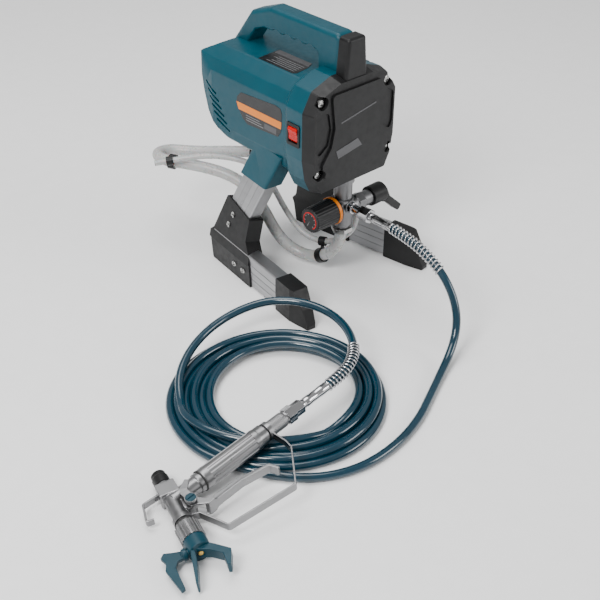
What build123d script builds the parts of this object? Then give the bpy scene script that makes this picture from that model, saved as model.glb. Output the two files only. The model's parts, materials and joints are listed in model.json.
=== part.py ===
"""Airless paint sprayer: a piston pump unit on a tubular stand, with its hose and spray gun.

Millimetres. The origin is on the floor at the middle of the stand. The front cover faces -Y,
+X is to the right as seen from the front, and +Z is up.
"""
from build123d import *

import os
from math import cos, pi, radians, sin, tan

os.makedirs("parts", exist_ok=True)

# ---------------------------------------------------------------- driving dimensions
WALL = 3.0                     # plastic shells
FIT = 0.05                     # radial clearance of bearings, bores and pockets

Y_REAR = 150.0                 # rearmost lip of the body
Y_FLARE_REAR = -43.0           # the body begins to widen towards the collar
Y_FLARE_FRONT = -54.0          # the collar begins
Y_COLLAR = -84.0               # the collar meets the front cover
Y_COVER = -103.0               # face of the front cover
Y_PANEL = -106.0               # raised panel on that face
CORNER = 7.0                   # rounding of the body's long edges
GRIP_TOP, GRIP_LOW = 376.0, 344.0
GRIP_HALF = 15.0               # half thickness of the handle in X

RAIL_H, RAIL_T = 48.0, 21.0    # aluminium floor rail: height and thickness
RAIL_LOW = 2.0                 # its underside above the floor
TUBE_L, TUBE_T = 55.5, 21.6    # upright tube, measured on a level cut
TUBE_WALL = 2.2
SKIN = 2.0                     # brackets and caps stand this far out of the tubes
STAND_T = RAIL_T + 2 * SKIN
CAP_TOP = 52.0
TUBE_FOOT, TUBE_HEAD = 52.5, 178.0      # heights of the upright's level ends
RAIL_START, RAIL_END = 8.0, 204.0       # along the rail from the elbow's rear corner
FOOT_START, FOOT_END = 173.0, 241.0
LEAN_START = 40.0              # height at which the elbow bends inward
ELBOW = Vector(-94.1, 94.7, 0)          # rear outer corner of the left elbow, on the floor
RAIL_DIR = Vector(-0.1435, -0.9896, 0)  # towards the foot
INWARD = Vector(0.9896, -0.1435, 0)     # level, square to the rail, towards the machine
LEAN_UP = Vector(0.2394, -0.0347, 0.9703)   # up along the outer face of the elbow's upper arm
TUBE_DIR = Vector(0.174, -0.379, 0.909)
TUBE_MID = Vector(-64.7, 13.3, 152.0)   # axis of the left upright where it leaves its socket

MOTOR_Z = 260.0                # height of the motor shaft
GEAR_Z = 224.0                 # height of the crankshaft
PINION_TEETH, GEAR_TEETH = 12, 60       # module 1
CRANK_THROW = 5.0
CRANK_PIN_R = 4.0
MOTOR_SHAFT_R, PINION_SHAFT_R, CRANK_R = 5.0, 3.0, 7.0

PUMP_Y = -84.0                 # the pump axis is upright at X = 0
PORT_Z = 119.5                 # height of the prime valve
KNOB_Z = 124.0                 # height of the pressure knob's axis
OUTLET_Z = 129.5               # height of the hose outlet
PUMP_BORE = 8.0
ROD_R = 5.0

HOSE_D = 11.0
SUCTION_D = 17.0
RETURN_D = 8.5
COIL_OUT_X, COIL_IN_X, COIL_Y = -252.0, -238.0, -230.0     # the turns bunch up on the right
COIL_OUT, COIL_IN = 143.5, 86.5
COIL_H_LEFT, COIL_H_RIGHT = 11.2, 21.0

BARREL_TURN = 251.8            # degrees from the gun's handle to its barrel
GUN = Plane(origin=(-467.1, -294.8, 13.8), x_dir=(0.9915, 0.0251, 0.1276), z_dir=(-0.1285, 0.0391, 0.9909))
BARREL_DIR = GUN.x_dir * cos(radians(BARREL_TURN)) + GUN.y_dir * sin(radians(BARREL_TURN))
BARREL = Plane(origin=GUN.origin, x_dir=BARREL_DIR, z_dir=GUN.z_dir)
HANDLE_START, HANDLE_END = 41.0, 137.5  # along the handle's axis from the barrel's
SWIVEL_END, GUN_NUT_END, GUN_HOSE_END = 173.6, 199.8, 244.0
BARREL_R = 9.5
TRIGGER_PIVOT = (10.0, -23.0)           # in the gun's plane
TIP_ALONG = 77.0                        # spray tip's axis, along the barrel


# ---------------------------------------------------------------- helpers
def finish(builder, name):
    """Label a finished piece and write it."""
    builder.part.label = name
    export_step(builder.part, f"parts/{name}.step")


def outline(plane, points, radius=0.0, inset=0.0):
    """A closed outline of straight sides, drawn in by inset and with rounded corners."""
    with BuildSketch(plane) as shape:
        with BuildLine():
            Polyline(*points, close=True)
        make_face()
        if inset:
            offset(amount=-inset, kind=Kind.INTERSECTION)
        if radius:
            fillet(shape.vertices(), max(radius - inset, 1.2))
    return shape.sketch


def both_sides(points):
    """Right-hand points of a symmetric outline, completed on the left."""
    return points + [(-x, z) for x, z in reversed(points)]


def station(y):
    """Upright plane across the machine at y: local x is X, local y is Z, and it faces the front."""
    return Plane.XZ.offset(-y)


def block(low, high, mode=Mode.ADD):
    """A box between two corners."""
    sizes = [b - a for a, b in zip(low, high)]
    middle = tuple((a + b) / 2 for a, b in zip(low, high))
    with Locations(middle):
        Box(*sizes, mode=mode)


def drum(start, direction, length, radius, bore=0.0, mode=Mode.ADD):
    """A round bar, or a ring with a bore, from a start point along a direction."""
    with BuildSketch(Plane(origin=start, z_dir=direction)) as section:
        Circle(radius)
        if bore:
            Circle(bore, mode=Mode.SUBTRACT)
    extrude(section.sketch, amount=length, mode=mode)


def hexagon(start, direction, length, across_flats, mode=Mode.ADD):
    with BuildSketch(Plane(origin=start, z_dir=direction)) as section:
        RegularPolygon(across_flats / 2, 6, major_radius=False)
    extrude(section.sketch, amount=length, mode=mode)


def turned(plane, pairs, mode=Mode.ADD):
    """A turned piece about the plane's x axis, from (distance, radius) pairs."""
    profile = outline(plane, [(pairs[0][0], 0), *pairs, (pairs[-1][0], 0)])
    revolve(profile, axis=Axis(plane.origin, plane.x_dir), mode=mode)


def slab(plane, points, low, high, radius=0.0, mode=Mode.ADD):
    """An outline in a plane, as a solid between two heights over it."""
    extrude(outline(plane.offset(low), points, radius), amount=high - low, mode=mode)


def strip(plane, points, thickness, half_width, bend=3.0):
    """A bent flat strip whose middle line lies in the plane."""
    with BuildSketch(plane) as section:
        with BuildLine():
            FilletPolyline(*points, radius=bend)
        trace(line_width=thickness)
    extrude(section.sketch, amount=half_width, both=True)


# ---------------------------------------------------------------- cord routes
HOSE_LEAD_ROUTE = [
    (0, -178, 129.5), (1, -212, 125.5), (3, -243, 114), (4, -270, 96.5), (3, -290, 74), (-2, -304, 50),
    (-14, -313, 27.5), (-35, -322, 13), (-64, -334.5, 7), (-103, -353, 5.7), (-153, -377, 5.9),
    (-208, -391, 5.7), (-265, -391, 5.9), (-314, -371, 5.7), (-350, -333, 5.9),
]
HOSE_TAIL_ROUTE = [
    (-354, -164, 9), (-329, -127, 19), (-293, -103, 27), (-255, -90, 33), (-218, -87, 38),
    (-184, -92, 42), (-155, -106, 46), (-135, -130, 49), (-122, -160, 50), (-119, -192, 50),
    (-127, -225, 50), (-144, -254, 50), (-169, -277, 50.5), (-197.4, -288, 48.5), (-225.2, -288.6, 44.9),
]
SUCTION_ROUTE = [
    (0, -84, 84), (0, -80, 62), (0, -64, 39), (-1, -43, 23), (-7, -19, 16), (-16, 3, 22), (-24, 18, 36),
    (-29, 31, 54), (-31, 46, 74), (-32, 68, 92), (-36, 95, 105), (-47, 123, 112), (-65, 149, 117),
    (-80, 167, 120), (-91, 182, 121), (-98, 198, 121.5), (-96, 215, 120.5), (-83, 226, 118.5),
    (-66, 224, 117), (-53, 211, 116), (-41, 194, 117), (-29, 175, 119.5), (-17, 156, 123), (-5, 137, 126),
    (7, 118, 128.5),
]
RETURN_ROUTE = [
    (30, -84, 104), (29.5, -83, 85), (26, -76, 67), (18, -63, 53), (8, -45, 44), (1, -23, 43), (-5, -4, 51),
    (-7, 15, 65), (-9, 31, 82), (-11, 44, 100), (-16, 55, 118), (-25, 68, 133), (-37, 85, 142),
    (-51, 106, 144.5), (-64, 128, 142.5), (-79, 146, 139), (-94, 160, 135), (-109, 173, 131.5),
    (-123, 184, 129),
]


def arc_radii(points):
    """Radius at each inner point of a route: 0.45 of the shorter run over tan(turn/2)."""
    radii = []
    for before, here, after in zip(points, points[1:], points[2:]):
        run_in = Vector(*here) - Vector(*before)
        run_out = Vector(*after) - Vector(*here)
        turn = radians(run_in.get_angle(run_out))
        radii.append(0.45 * min(run_in.length, run_out.length) / tan(turn / 2))
    return radii


def cord_wire(points):
    """Straight runs joined by tangent arcs."""
    with BuildLine() as path:
        FilletPolyline(*points, radius=arc_radii(points))
    return path.wire()


def cord_section(points, outer_d, inner_d=0.0):
    with BuildSketch(Plane(origin=points[0], z_dir=Vector(*points[1]) - Vector(*points[0]))) as ring:
        Circle(outer_d / 2)
        if inner_d:
            Circle(inner_d / 2, mode=Mode.SUBTRACT)
    return ring.sketch


def report_cord(name, points, builder, diameter):
    length = cord_wire(points).length
    ratio = builder.part.volume / (pi * diameter**2 / 4 * length)
    print(f"{name}: {length:.0f} mm, volume ratio {ratio:.3f}, radii", *[round(r) for r in arc_radii(points)])


# ================================================================ plastic housing
BODY = both_sides([(58, 182), (68, 191), (71, 208), (71, 284), (64, 300), (46, 315)])
COLLAR = both_sides([(63, 168), (74, 190), (79, 220), (79, 288), (64, 314), (30, 326)])
REAR_SIDE = [
    (-70, 170), (52, 170), (60, 189), (78, 190), (101, 200), (122, 219), (134, 246), (138, 262),
    (Y_REAR, 273), (Y_REAR, 290), (139, 303), (112, 318), (-70, 318),
]
REAR_PLAN = both_sides([(76, -80), (76, 62), (71, 108), (61, Y_REAR)])
GRIP_SIDE = [(Y_COLLAR, 290), (Y_COLLAR, GRIP_TOP), (50, GRIP_TOP), (90, 361), (143, 290)]
GRIP_HOLE = [(-44, 270), (-44, GRIP_LOW), (62, GRIP_LOW), (80, 337), (128, 270)]
SCALLOPS = (-28, -6, 16, 38)   # finger scallops under the grip
VENTS = [(113 - 5.4 * i, 257 - 9.6 * i) for i in range(6)]
HOUSING_SCREWS = [(-66, 314), (112, 290), (58, 200), (-8, 197)]     # Y, Z
GRIP_SCREW = (5, 364)
COVER_SCREWS = [(60, 302), (64, 201), (-60, 302), (-64, 201)]       # X, Z
SWITCH_Y, SWITCH_Z = -68.0, 253.0
GLAND = Plane(origin=(0, 128, 232.5), z_dir=(0, 0.914, -0.406))


def body_shape(inset):
    """Body, flare and collar, drawn in by inset for the inside."""
    with BuildPart() as shape:
        extrude(outline(station(Y_REAR), BODY, CORNER, inset), amount=Y_REAR - Y_FLARE_REAR)
        extrude(outline(Plane.YZ, REAR_SIDE, 5, inset), amount=100, both=True, mode=Mode.INTERSECT)
        extrude(outline(Plane.XY, REAR_PLAN, 18, inset), amount=400, mode=Mode.INTERSECT)
        narrow = outline(station(Y_FLARE_REAR), BODY, CORNER, inset)
        wide = outline(station(Y_FLARE_FRONT), COLLAR, CORNER, inset)
        loft([narrow, wide], ruled=True)
        extrude(wide, amount=Y_FLARE_FRONT - Y_COLLAR)
    return shape.part


def level_cut(height):
    """Level plane at a height, centred on the left upright's line and turned with the rail."""
    middle = TUBE_MID + TUBE_DIR * ((height - TUBE_MID.Z) / TUBE_DIR.Z)
    return Plane(origin=middle, x_dir=INWARD, z_dir=(0, 0, 1))


def leaning_block(length, thickness, low, high, radius=3.0):
    """A block along the left upright's line, with level ends."""
    with BuildSketch(level_cut(low)) as section:
        RectangleRounded(thickness, length, radius)
    with BuildPart() as shape:
        extrude(section.sketch, amount=(high - low) / TUBE_DIR.Z, dir=TUBE_DIR)
    return shape.part


def stand_screws(clearance=0.0):
    """The left bracket's four screws, square to its outer faces."""
    with BuildPart() as group:
        for along, up in ((64.6, 19.3), (87.7, 19.6)):
            start = ELBOW + RAIL_DIR * along + Vector(0, 0, up)
            drum(start, -INWARD, 1.6, 3.4)
            drum(start, INWARD, 7, 1.6 + clearance)
        for along, up in ((46.6, 50.2), (40.6, 32.3)):
            start = ELBOW + Vector(0, 0, LEAN_START) + RAIL_DIR * along + LEAN_UP * up
            outward = RAIL_DIR.cross(LEAN_UP)
            drum(start, outward, 1.6, 3.4)
            drum(start, -outward, 7, 1.6 + clearance)
    return group.part


body_outside = body_shape(0)
body_inside = body_shape(WALL)
socket = leaning_block(TUBE_L + 8, TUBE_T + 8.5, 152, 205, 4)
socket_pocket = leaning_block(TUBE_L + 0.2, TUBE_T + 0.2, 140, TUBE_HEAD + 0.5)
tube_bore = leaning_block(TUBE_L + 0.2, TUBE_T + 0.2, TUBE_FOOT - 0.1, 120)

with BuildPart() as grip:
    extrude(outline(Plane.YZ, GRIP_SIDE, 10), amount=GRIP_HALF, both=True)
    fillet(grip.faces().filter_by(Axis.X).edges().filter_by(lambda e: e.center().Z > 300), 7)
    extrude(outline(Plane.YZ, GRIP_HOLE, 8), amount=40, both=True, mode=Mode.SUBTRACT)
    hole_rim = grip.edges(Select.LAST).filter_by(lambda e: abs(e.center().X) > GRIP_HALF - 1)
    fillet(hole_rim.filter_by(lambda e: e.center().Z > 300), 3)
    with BuildSketch(Plane.YZ) as fingers:
        with Locations(*[(y, GRIP_LOW - 8) for y in SCALLOPS]):
            Circle(12.5)
    extrude(fingers.sketch, amount=40, both=True, mode=Mode.SUBTRACT)

with BuildPart() as grip_hollow:
    extrude(outline(Plane.YZ, GRIP_SIDE, 10, 4), amount=GRIP_HALF - 4, both=True)
    extrude(outline(Plane.YZ, GRIP_HOLE, 8, -7), amount=40, both=True, mode=Mode.SUBTRACT)

with BuildPart() as posts:
    with BuildSketch(Plane.YZ) as post_section:
        with Locations(*HOUSING_SCREWS, GRIP_SCREW):
            Circle(5)
    extrude(post_section.sketch, amount=90, both=True)
    add(body_outside + grip.part, mode=Mode.INTERSECT)

with BuildPart() as housing:
    add(body_outside)
    add(grip.part)
    add(body_inside, mode=Mode.SUBTRACT)
    add(grip_hollow.part, mode=Mode.SUBTRACT)
    with BuildSketch(Plane.YZ) as slots:
        with Locations(*[Location((y, z, 0), (0, 0, 22)) for y, z in VENTS]):
            SlotOverall(30, 3.6)
    extrude(slots.sketch, amount=100, both=True, mode=Mode.SUBTRACT)
    add(posts.part)
    for x, z in COVER_SCREWS:
        drum((x, Y_COLLAR, z), (0, 1, 0), 22, 9.5)
        drum((x, Y_COLLAR, z), (0, 1, 0), 18, 1.7, mode=Mode.SUBTRACT)
    add(socket)
    add(mirror(socket, about=Plane.YZ, mode=Mode.PRIVATE))
    add(socket_pocket, mode=Mode.SUBTRACT)
    add(mirror(socket_pocket, about=Plane.YZ, mode=Mode.PRIVATE), mode=Mode.SUBTRACT)
    drum((0, PUMP_Y, 150), (0, 0, 1), 34, 17, mode=Mode.SUBTRACT)
    drum(GLAND.origin, -GLAND.z_dir, 12, 6.05, mode=Mode.SUBTRACT)
    drum(GLAND.origin, GLAND.z_dir, 12, 6.05, mode=Mode.SUBTRACT)
    block((-90, SWITCH_Y - 9.8, SWITCH_Z - 12.8), (-70, SWITCH_Y + 9.8, SWITCH_Z + 12.8), mode=Mode.SUBTRACT)

with BuildPart() as housing_left:
    add(housing.part)
    split(bisect_by=Plane.YZ, keep=Keep.BOTTOM)
    for y, z in [*HOUSING_SCREWS, GRIP_SCREW]:
        drum((0, y, z), (-1, 0, 0), 11 if z > 330 else 14, 1.7, mode=Mode.SUBTRACT)
finish(housing_left, "housing_left")

with BuildPart() as housing_right:
    add(housing.part)
    split(bisect_by=Plane.YZ, keep=Keep.TOP)
    for y, z in [*HOUSING_SCREWS, GRIP_SCREW]:
        drum((0, y, z), (1, 0, 0), 90, 2.2, mode=Mode.SUBTRACT)
        drum((8 if z > 330 else 14, y, z), (1, 0, 0), 90, 3.9, mode=Mode.SUBTRACT)
finish(housing_right, "housing_right")


# ---------------------------------------------------------------- front cover, screws, switch, gland
PANEL = both_sides([(56, 192), (62, 214), (46, 236), (40, 262), (46, 309)])
WAIST = [(50, 240), (67, 228), (71, 240), (71, 282), (60, 290), (49, 284), (45, 262)]
PILLAR = both_sides([(22, 305), (15.5, 375)])
SCREW_FLOOR = -95.0            # bottom of the corner recesses

with BuildPart() as cover_shape:
    rim = outline(station(Y_COLLAR), COLLAR, CORNER)
    face = outline(station(Y_COVER), COLLAR, CORNER, 5)
    loft([rim, face], ruled=True)
cover_limit = cover_shape.part

with BuildPart() as bosses:
    for x, z in COVER_SCREWS:
        drum((x, Y_COLLAR, z), (0, -1, 0), 20, 12)
    add(cover_limit, mode=Mode.INTERSECT)

with BuildPart() as front_cover:
    add(cover_limit)
    extrude(outline(station(Y_COVER), PANEL, 6), amount=Y_COVER - Y_PANEL)
    slab(station(Y_COLLAR), PILLAR, 0, 18, 5)
    pillar_rim = front_cover.faces().sort_by(Axis.Z)[-1].edges().sort_by(Axis.Y)[0]
    fillet(pillar_rim, 5)
    rim = outline(station(Y_COLLAR), COLLAR, CORNER, 3)
    face = outline(station(Y_COVER + 4), COLLAR, CORNER, 8)
    loft([rim, face], ruled=True, mode=Mode.SUBTRACT)
    for side in (1, -1):
        slab(station(Y_COVER), [(side * x, z) for x, z in WAIST], -2.2, 5, 4, mode=Mode.SUBTRACT)
    add(bosses.part)
    for x, z in COVER_SCREWS:
        drum((x, SCREW_FLOOR, z), (0, -1, 0), 20, 9 if z > 250 else 8, mode=Mode.SUBTRACT)
        drum((x, -80, z), (0, -1, 0), 40, 2.2, mode=Mode.SUBTRACT)
    drum((0, PUMP_Y, 150), (0, 0, 1), 34, 17, mode=Mode.SUBTRACT)
finish(front_cover, "front_cover")

left_stand_screws = stand_screws()
left_screw_holes = stand_screws(FIT)
with BuildPart() as screws:
    for x, z in COVER_SCREWS:
        drum((x, SCREW_FLOOR, z), (0, -1, 0), 3.5, 4)
        drum((x, SCREW_FLOOR, z), (0, 1, 0), 25, 1.65)
    for y, z in [*HOUSING_SCREWS, GRIP_SCREW]:
        seat = 8 if z > 330 else 14
        drum((seat, y, z), (1, 0, 0), 3, 3.6)
        drum((seat, y, z), (-1, 0, 0), seat + seat - 4, 1.65)
    add(left_stand_screws)
    add(mirror(left_stand_screws, about=Plane.YZ, mode=Mode.PRIVATE))
finish(screws, "screws")

ROCKER_X = -77.0               # rocker's pivot, along Y
ROCKER = Plane(origin=(ROCKER_X, SWITCH_Y, SWITCH_Z), x_dir=(0, 0, 1), z_dir=(0, 1, 0))
ROCKER_SIDE = [
    (-10.4, 3.4), (-10.4, -0.6), (-7, -3.1), (0, -3), (7, -5.3), (10.1, -4), (10.3, -1.6), (3, 3.2),
    (-3, 3.2),
]
PIVOT_R = 1.2

with BuildPart() as switch_bezel:
    block((-80.4, SWITCH_Y - 12, SWITCH_Z - 16), (-79, SWITCH_Y + 12, SWITCH_Z + 16))
    fillet(switch_bezel.edges().filter_by(Axis.X), 2)
    block((-79, SWITCH_Y - 9.7, SWITCH_Z - 12.7), (-70.5, SWITCH_Y + 9.7, SWITCH_Z + 12.7))
    block((-82, SWITCH_Y - 8.5, SWITCH_Z - 11.4), (-72, SWITCH_Y + 8.5, SWITCH_Z + 11.4), mode=Mode.SUBTRACT)
    drum((ROCKER_X, SWITCH_Y - 9.3, SWITCH_Z), (0, 1, 0), 18.6, PIVOT_R + FIT, mode=Mode.SUBTRACT)
finish(switch_bezel, "switch_bezel")

with BuildPart() as switch_rocker:
    with BuildSketch(ROCKER.offset(-8.2)) as rocker_side:
        with BuildLine():
            Polyline(*ROCKER_SIDE, close=True)
        make_face()
    extrude(rocker_side.sketch, amount=16.4)
    drum((ROCKER_X, SWITCH_Y - 9.2, SWITCH_Z), (0, 1, 0), 18.4, PIVOT_R)
finish(switch_rocker, "switch_rocker")

with BuildPart() as cord_gland:
    drum(GLAND.origin + GLAND.z_dir * FIT, GLAND.z_dir, 2.4, 9)
    drum(GLAND.origin + GLAND.z_dir * FIT, -GLAND.z_dir, 7, 6)
    turned(Plane(origin=GLAND.origin, x_dir=GLAND.z_dir, z_dir=(1, 0, 0)), [(2.3, 6.5), (6, 6.3), (18, 4.8)])
    drum(GLAND.origin - GLAND.z_dir * 8, GLAND.z_dir, 30, 3.6, mode=Mode.SUBTRACT)
finish(cord_gland, "cord_gland")

# ================================================================ drive
CASE_HALF, CASE_FRONT, CASE_REAR = 38.0, -53.0, -28.0
CASE_LOW, CASE_TOP = 185.1, 290.0
PLATE_REAR = -22.0             # face of the gear cover, where the motor's can begins
CHAMBER_FRONT = -98.0          # crank chamber behind the front cover
BEARINGS = [                   # start Y, length, height, outer radius, bore radius
    (-62, 10, GEAR_Z, 13, CRANK_R), (CASE_REAR, 6, GEAR_Z, 12, CRANK_R), (-53, 3, MOTOR_Z, 6.5, PINION_SHAFT_R),
    (CASE_REAR, 6, MOTOR_Z, 11, MOTOR_SHAFT_R), (66, 8, MOTOR_Z, 11, MOTOR_SHAFT_R),
]

with BuildPart() as gear_case:
    block((-CASE_HALF, CASE_FRONT, CASE_LOW), (CASE_HALF, CASE_REAR, CASE_TOP))
    block((-35, -50, CASE_LOW + 3), (35, CASE_REAR + 1, CASE_TOP - 3), mode=Mode.SUBTRACT)
    block((-23, CHAMBER_FRONT, 178), (23, CASE_FRONT, 254))
    block((-20, -95, 181), (20, -65, 250.5), mode=Mode.SUBTRACT)
    drum((0, PUMP_Y, 170), (0, 0, 1), 9, 16)
    drum((0, PUMP_Y, 165), (0, 0, 1), 20, 12, mode=Mode.SUBTRACT)
    for start, length, height, outer_r, bore_r in BEARINGS[:3:2]:
        drum((0, start - 5, height), (0, 1, 0), length + 8, outer_r + FIT, mode=Mode.SUBTRACT)
finish(gear_case, "gear_case")

with BuildPart() as gear_cover:
    block((-CASE_HALF, CASE_REAR, CASE_LOW), (CASE_HALF, PLATE_REAR, 300))
    drum((0, CASE_REAR, MOTOR_Z), (0, 1, 0), 6, 45.5)
    for start, length, height, outer_r, bore_r in (BEARINGS[1], BEARINGS[3]):
        drum((0, start - 2, height), (0, 1, 0), length + 4, outer_r + FIT, mode=Mode.SUBTRACT)
finish(gear_cover, "gear_cover")

with BuildPart() as bearings:
    for start, length, height, outer_r, bore_r in BEARINGS:
        drum((0, start, height), (0, 1, 0), length, outer_r, bore_r + FIT)
finish(bearings, "bearings")

with BuildPart() as motor_can:
    drum((0, PLATE_REAR, MOTOR_Z), (0, 1, 0), 96, 45.5, 44)
    drum((0, 66, MOTOR_Z), (0, 1, 0), 8, 45, 11 + FIT)
    with BuildSketch(station(66)) as air_holes:
        with Locations((0, MOTOR_Z)):
            with PolarLocations(28, 8):
                Circle(7)
    extrude(air_holes.sketch, amount=-10, both=True, mode=Mode.SUBTRACT)
finish(motor_can, "motor_can")

with BuildPart() as motor_stator:
    drum((0, 8, MOTOR_Z), (0, 1, 0), 52, 44, 26.5)
finish(motor_stator, "motor_stator")


def gear_section(y, height, teeth, phase):
    """Spur gear of module 1 with slim teeth, for a free running mesh."""
    pitch_r = teeth / 2
    root_r, tip_r = pitch_r - 1.15, pitch_r + 0.75
    flank = [(root_r - 0.5, 0.85), (pitch_r, 0.5), (tip_r, 0.28)]
    tooth = [(along, -half) for along, half in flank] + flank[::-1]
    with BuildSketch(station(y)) as wheel:
        with Locations((0, height)):
            Circle(root_r)
            with PolarLocations(0, teeth, start_angle=phase):
                Polygon(*tooth, align=None)
    return wheel.sketch


with BuildPart() as motor_rotor:
    drum((0, 8, MOTOR_Z), (0, 1, 0), 52, 25.5)
    drum((0, -30, MOTOR_Z), (0, 1, 0), 127, MOTOR_SHAFT_R)
    drum((0, -52.5, MOTOR_Z), (0, 1, 0), 25, PINION_SHAFT_R)
    extrude(gear_section(-35, MOTOR_Z, PINION_TEETH, 90 + 180 / PINION_TEETH), amount=12)
finish(motor_rotor, "motor_rotor")

with BuildPart() as cooling_fan:
    drum((0, 80, MOTOR_Z), (0, 1, 0), 2, 42)
    drum((0, 80, MOTOR_Z), (0, 1, 0), 16, 9)
    with BuildSketch(station(96)) as blades:
        with Locations((0, MOTOR_Z)):
            with PolarLocations(25, 9, rotate=True):
                Rectangle(33, 2)
    extrude(blades.sketch, amount=15)
    drum((0, 75, MOTOR_Z), (0, 1, 0), 30, MOTOR_SHAFT_R + FIT, mode=Mode.SUBTRACT)
finish(cooling_fan, "cooling_fan")

with BuildPart() as drive_gear:
    extrude(gear_section(-37, GEAR_Z, GEAR_TEETH, 90), amount=9)
    drum((0, -48, GEAR_Z), (0, 1, 0), 16, 12)
    drum((0, -50, GEAR_Z), (0, 1, 0), 25, CRANK_R + FIT, mode=Mode.SUBTRACT)
    with BuildSketch(station(-37)) as webs:
        with Locations((0, GEAR_Z)):
            with PolarLocations(20, 6):
                Circle(5)
    extrude(webs.sketch, amount=12, both=True, mode=Mode.SUBTRACT)
finish(drive_gear, "drive_gear")

with BuildPart() as crankshaft:
    drum((0, -66, GEAR_Z), (0, 1, 0), 43, CRANK_R)
    drum((0, -66, GEAR_Z), (0, -1, 0), 7, 14)
    drum((0, -73, GEAR_Z + CRANK_THROW), (0, -1, 0), 20, CRANK_PIN_R)
finish(crankshaft, "crankshaft")

with BuildPart() as yoke:
    block((-15.5, -92, GEAR_Z - 20.5), (15.5, -76, GEAR_Z + 20.5))
    fillet(yoke.edges().filter_by(Axis.Y), 4)
    block((-9.5, -95, GEAR_Z - 14.5), (9.5, -70, GEAR_Z + 14.5), mode=Mode.SUBTRACT)
finish(yoke, "yoke")

# ================================================================ pump
with BuildPart() as piston_rod:
    drum((0, PUMP_Y, 118), (0, 0, 1), GEAR_Z - 20.5 - 118, ROD_R)
    drum((0, PUMP_Y, 118), (0, 0, 1), 10, PUMP_BORE - 0.1)
finish(piston_rod, "piston_rod")

with BuildPart() as upper_packing:
    drum((0, PUMP_Y, 150), (0, 0, 1), 10, PUMP_BORE - FIT, ROD_R + FIT)
finish(upper_packing, "upper_packing")

with BuildPart() as pump_cylinder:
    drum((0, PUMP_Y, 139), (0, 0, 1), 26, 13)
    drum((0, PUMP_Y, 164), (0, 0, 1), 14, 12 - FIT)
    drum((0, PUMP_Y, 164), (0, 0, 1), 6, 15.5)
    drum((0, PUMP_Y, 130), (0, 0, 1), 60, PUMP_BORE, mode=Mode.SUBTRACT)
finish(pump_cylinder, "pump_cylinder")

with BuildPart() as pump_manifold:
    drum((0, PUMP_Y, 98), (0, 0, 1), 40.9, 14.5)
    drum((0, PUMP_Y, 132.9), (0, 0, 1), 6, 15)
    drum((0, PUMP_Y, 92), (0, 0, 1), 8, 11)
    drum((0, PUMP_Y, KNOB_Z), (-1, 0, 0), 15.2, 12.5)
    drum((0, PUMP_Y, PORT_Z), (1, 0, 0), 17, 12)
    drum((0, PUMP_Y, OUTLET_Z), (0, -1, 0), 17, 9.3)
    fillet(pump_manifold.edges().filter_by(GeomType.CIRCLE).group_by(Axis.Z)[0], 1)
    drum((0, PUMP_Y, 112), (0, 0, 1), 40, PUMP_BORE, mode=Mode.SUBTRACT)
    drum((0, PUMP_Y, 85), (0, 0, 1), 40, 6, mode=Mode.SUBTRACT)
    drum((0, PUMP_Y, OUTLET_Z), (0, -1, 0), 30, 4.5, mode=Mode.SUBTRACT)
finish(pump_manifold, "pump_manifold")

with BuildPart() as check_balls:
    with Locations((0, PUMP_Y, 102.8)):
        Sphere(4.8)
    with Locations((0, PUMP_Y - 12.5, OUTLET_Z)):
        Sphere(3.6)
finish(check_balls, "check_balls")

with BuildPart() as inlet_valve:
    hexagon((0, PUMP_Y, 86), (0, 0, 1), 5.9, 27)
    drum((0, PUMP_Y, 91.9), (0, 0, 1), 6, 6 - FIT)
    drum((0, PUMP_Y, 84), (0, 0, 1), 3, 10)
    drum((0, PUMP_Y, 80), (0, 0, 1), 20, 4, mode=Mode.SUBTRACT)
finish(inlet_valve, "inlet_valve")

with BuildPart() as pressure_sensor:
    drum((-15.2, PUMP_Y, KNOB_Z), (-1, 0, 0), 3, 19)
    chamfer(pressure_sensor.edges().group_by(Axis.X)[-1], 1)
finish(pressure_sensor, "pressure_sensor")

with BuildPart() as knob_ring:
    drum((-18.2, PUMP_Y, KNOB_Z), (-1, 0, 0), 4.2, 19.6)
finish(knob_ring, "knob_ring")

with BuildPart() as pressure_knob:
    knob_face = Plane(origin=(-22.7, PUMP_Y, KNOB_Z), x_dir=(0, 1, 0), z_dir=(-1, 0, 0))
    with BuildSketch(knob_face) as knob_section:
        Circle(18.8)
        with PolarLocations(20.4, 24):
            Circle(2, mode=Mode.SUBTRACT)
    extrude(knob_section.sketch, amount=39.5, taper=1.5)
    face_edges = pressure_knob.edges().group_by(Axis.X)[0]
    chamfer(face_edges, 1)
finish(pressure_knob, "pressure_knob")

with BuildPart() as prime_valve:
    drum((17, PUMP_Y, PORT_Z), (1, 0, 0), 35, 11)
    hexagon((24, PUMP_Y, PORT_Z), (1, 0, 0), 12, 24)
    drum((30, PUMP_Y, 104.1), (0, 0, 1), 10, 3.8)
finish(prime_valve, "prime_valve")

LEVER = [(70, 130), (84, 125), (91, 109), (117, 85), (110, 77), (84, 101), (72, 106)]
with BuildPart() as prime_lever:
    drum((52.3, PUMP_Y, PORT_Z), (1, 0, 0), 28, 14.5)
    chamfer(prime_lever.edges().group_by(Axis.X)[-1], 3)
    slab(station(PUMP_Y + 6), LEVER, 0, 12, 3)
finish(prime_lever, "prime_lever")

with BuildPart() as outlet_nipple:
    drum((0, -101, OUTLET_Z), (0, -1, 0), 20, 6.5, 2.5)
    drum((0, -101, OUTLET_Z), (0, -1, 0), 6, 8.5, 2.5)
finish(outlet_nipple, "outlet_nipple")

# ================================================================ hose
SPRING_EDGES = 4               # stretches of the hose inside each spring guard
PUMP_FERRULE_Y = -138.0


def gun_point(along, across=0.0, above=0.0):
    return GUN.origin + GUN.x_dir * along + GUN.y_dir * across + GUN.z_dir * above


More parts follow.
